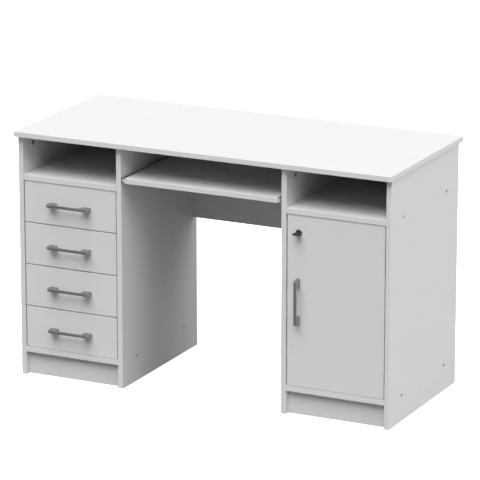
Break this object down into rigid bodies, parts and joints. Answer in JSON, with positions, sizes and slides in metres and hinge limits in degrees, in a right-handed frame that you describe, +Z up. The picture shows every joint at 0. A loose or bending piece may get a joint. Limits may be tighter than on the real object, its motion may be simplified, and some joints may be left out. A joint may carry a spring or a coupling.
{
  "type": "writing desk with drawers",
  "caption": "White two-pedestal writing desk: drawers on the left, a lockable cupboard on the right, an open niche over each, and a pull-out keyboard tray.",
  "frame": {"origin": "on the floor at the centre of the whole footprint, handles included", "axes": "+X to the right of a person facing the desk's front, +Y from the front to the back, +Z up"},
  "size_m": [1.24, 0.553, 0.77],
  "materials": {
    "white_board": "white melamine-faced particle board, fine satin texture",
    "box_board": "white foil-wrapped drawer board",
    "white_hardboard": "white lacquered hardboard",
    "beech": "turned beech, raw",
    "fixing_steel": "zinc-plated steel",
    "cast_zinc": "raw die-cast zinc",
    "slide_steel": "zinc-plated rolled steel",
    "hinge_steel": "nickel-plated pressed steel",
    "handle_metal": "satin, brushed along its length",
    "lock_metal": "dark nickel-plated",
    "key_plastic": "black moulded plastic over a steel blade"
  },
  "bodies": {
    "carcass": {"desktop": "white_board", "side_left_outer": "white_board", "side_left_inner": "white_board", "side_right_inner": "white_board", "side_right_outer": "white_board", "niche_shelf_left": "white_board", "niche_shelf_right": "white_board", "bottom_left": "white_board", "bottom_right": "white_board", "plinth_left": "white_board", "plinth_right": "white_board", "back_left": "white_hardboard", "back_right": "white_hardboard", "modesty_panel": "white_board", "cupboard_shelf": "white_board", "shelf_pins": "fixing_steel", "wood_dowels": "beech", "confirmat_screws": "fixing_steel", "cam_fittings": "cast_zinc", "slide_channels": "slide_steel", "hinge_plates": "hinge_steel", "hinge_arms": "hinge_steel"},
    "drawer_1": {"drawer_1_front": "white_board", "drawer_1_sides": "box_board", "drawer_1_back": "box_board", "drawer_1_bottom": "white_hardboard", "drawer_1_runners": "slide_steel", "drawer_1_handle": "handle_metal", "drawer_1_handle_screws": "fixing_steel"},
    "drawer_2": {"drawer_2_front": "white_board", "drawer_2_sides": "box_board", "drawer_2_back": "box_board", "drawer_2_bottom": "white_hardboard", "drawer_2_runners": "slide_steel", "drawer_2_handle": "handle_metal", "drawer_2_handle_screws": "fixing_steel"},
    "drawer_3": {"drawer_3_front": "white_board", "drawer_3_sides": "box_board", "drawer_3_back": "box_board", "drawer_3_bottom": "white_hardboard", "drawer_3_runners": "slide_steel", "drawer_3_handle": "handle_metal", "drawer_3_handle_screws": "fixing_steel"},
    "drawer_4": {"drawer_4_front": "white_board", "drawer_4_sides": "box_board", "drawer_4_back": "box_board", "drawer_4_bottom": "white_hardboard", "drawer_4_runners": "slide_steel", "drawer_4_handle": "handle_metal", "drawer_4_handle_screws": "fixing_steel"},
    "tray": {"keyboard_tray": "white_board", "tray_runners": "slide_steel"},
    "door_leaf": {"door": "white_board", "door_handle": "handle_metal", "door_handle_screws": "fixing_steel", "hinge_cups": "hinge_steel", "lock_housing": "lock_metal"},
    "hinge_linkage": {"hinge_links": "hinge_steel"},
    "lock_core": {"lock_plug": "lock_metal", "lock_key": "key_plastic"}
  },
  "joints": [
    {"name": "drawer_1_slide", "type": "slide", "parent": "carcass", "child": "drawer_1", "axis": [0, -1, 0], "range_m": [0, 0.32]},
    {"name": "drawer_2_slide", "type": "slide", "parent": "carcass", "child": "drawer_2", "axis": [0, -1, 0], "range_m": [0, 0.32]},
    {"name": "drawer_3_slide", "type": "slide", "parent": "carcass", "child": "drawer_3", "axis": [0, -1, 0], "range_m": [0, 0.32]},
    {"name": "drawer_4_slide", "type": "slide", "parent": "carcass", "child": "drawer_4", "axis": [0, -1, 0], "range_m": [0, 0.32]},
    {"name": "tray_slide", "type": "slide", "parent": "carcass", "child": "tray", "axis": [0, -1, 0], "range_m": [0, 0.26]},
    {"name": "door_hinge", "type": "hinge", "parent": "carcass", "child": "door_leaf", "pos_m": [0.591, -0.2435, 0.354], "axis": [0, 0, 1], "range_deg": [0, 95]},
    {"name": "hinge_link_pivot", "type": "hinge", "parent": "carcass", "child": "hinge_linkage", "pos_m": [0.572, -0.2355, 0.354], "axis": [0, 0, 1], "range_deg": [-34, 0]},
    {"name": "lock_turn", "type": "hinge", "parent": "door_leaf", "child": "lock_core", "pos_m": [0.321, -0.2325, 0.563], "axis": [0, 1, 0], "range_deg": [0, 90]}
  ],
  "couplings": [
    {"joint": "hinge_link_pivot", "follows": "door_hinge", "ratio": -0.353}
  ]
}
